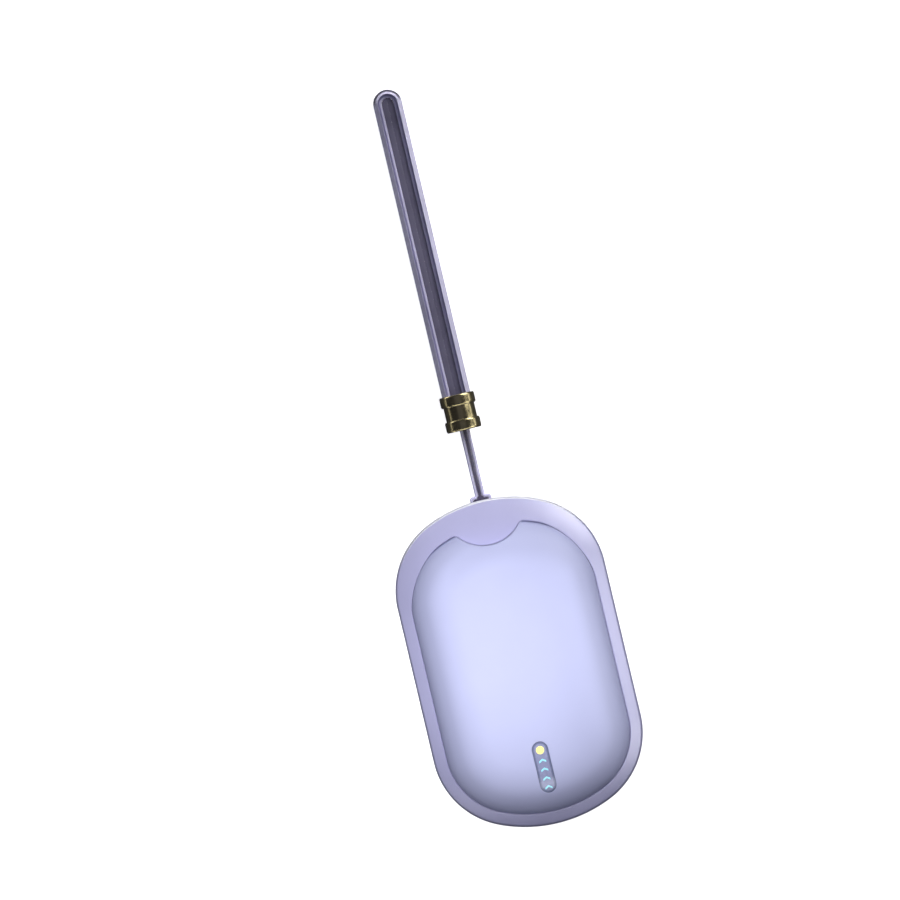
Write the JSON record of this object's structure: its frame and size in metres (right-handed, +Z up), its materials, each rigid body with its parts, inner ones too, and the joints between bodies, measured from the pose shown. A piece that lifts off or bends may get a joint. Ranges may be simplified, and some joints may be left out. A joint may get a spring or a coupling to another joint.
{
  "type": "rechargeable hand warmer",
  "caption": "Pebble-shaped rechargeable hand warmer with a domed front panel, a lit pill-shaped key and a wrist strap held by a turned ferrule on a doubled cord.",
  "frame": {"origin": "centre of the flat back that the case lies on, under the middle of the case's outline", "axes": "+X across the case, +Y along it towards the strap, +Z up out of the front panel"},
  "size_m": [0.0608, 0.2157, 0.026],
  "materials": {
    "case_lavender": "satin",
    "panel_lavender": "satin",
    "dark_gasket": "matt",
    "steel": "satin",
    "smoked_key": "gloss",
    "yellow_light": "gloss",
    "cyan_light": "gloss",
    "black_plastic": "matt",
    "board_green": "gloss",
    "lamp_chip": "gloss",
    "coil_grey": "matt",
    "cream_plastic": "satin",
    "ribbon_white": "satin",
    "cell_sleeve": "gloss",
    "nickel": "satin",
    "lead_red": "matt",
    "lead_black": "matt",
    "heater_film": "gloss",
    "grey_foam": "matt",
    "plate_aluminium": "satin",
    "cord_lavender": "woven",
    "ferrule_brass": "polished",
    "strap_lavender": "satin",
    "strap_purple": "satin"
  },
  "bodies": {
    "housing": {"rear_shell": "case_lavender", "front_frame": "case_lavender", "front_panel": "panel_lavender", "panel_gasket": "dark_gasket", "case_screws": "steel", "switch_case": "black_plastic", "indicator_board": "board_green", "indicator_screws": "steel", "status_light": "lamp_chip", "level_lights": "lamp_chip", "main_board": "board_green", "board_screws": "steel", "socket_shell": "steel", "socket_tongue": "black_plastic", "control_chip": "black_plastic", "power_coil": "coil_grey", "battery_plug": "cream_plastic", "heater_plug": "cream_plastic", "ribbon_plugs": "cream_plastic", "board_ribbon": "ribbon_white", "battery_cells": "cell_sleeve", "battery_tabs": "nickel", "battery_lead_plus": "lead_red", "battery_lead_minus": "lead_black", "rear_heater_film": "heater_film", "rear_pad": "grey_foam", "front_heat_plate": "plate_aluminium", "front_heater_film": "heater_film", "front_pad": "grey_foam", "heat_sensor": "black_plastic", "lanyard_anchor": "steel"},
    "key": {"key_cap": "smoked_key", "status_window": "yellow_light", "level_windows": "cyan_light", "switch_plunger": "black_plastic"},
    "lanyard": {"lanyard_cord": "cord_lavender", "lanyard_core": "strap_purple", "strap_ferrule": "ferrule_brass"},
    "strap": {"strap_band": "strap_lavender", "strap_lining": "strap_purple"}
  },
  "joints": [
    {"name": "key_press", "type": "slide", "parent": "housing", "child": "key", "axis": [0, 0, -1], "range_m": [0, 0.0005], "stiffness_N_per_m": 3000},
    {"name": "lanyard_swing", "type": "hinge", "parent": "housing", "child": "lanyard", "pos_m": [0, 0.0426, 0.0095], "axis": [0, 0, 1], "range_deg": [-60, 60], "deforming": ["lanyard_cord", "lanyard_core"]},
    {"name": "strap_lift", "type": "hinge", "parent": "lanyard", "child": "strap", "pos_m": [0, 0.0785, 0.0051], "axis": [1, 0, 0], "range_deg": [0, 80], "deforming": ["strap_band", "strap_lining"]}
  ]
}
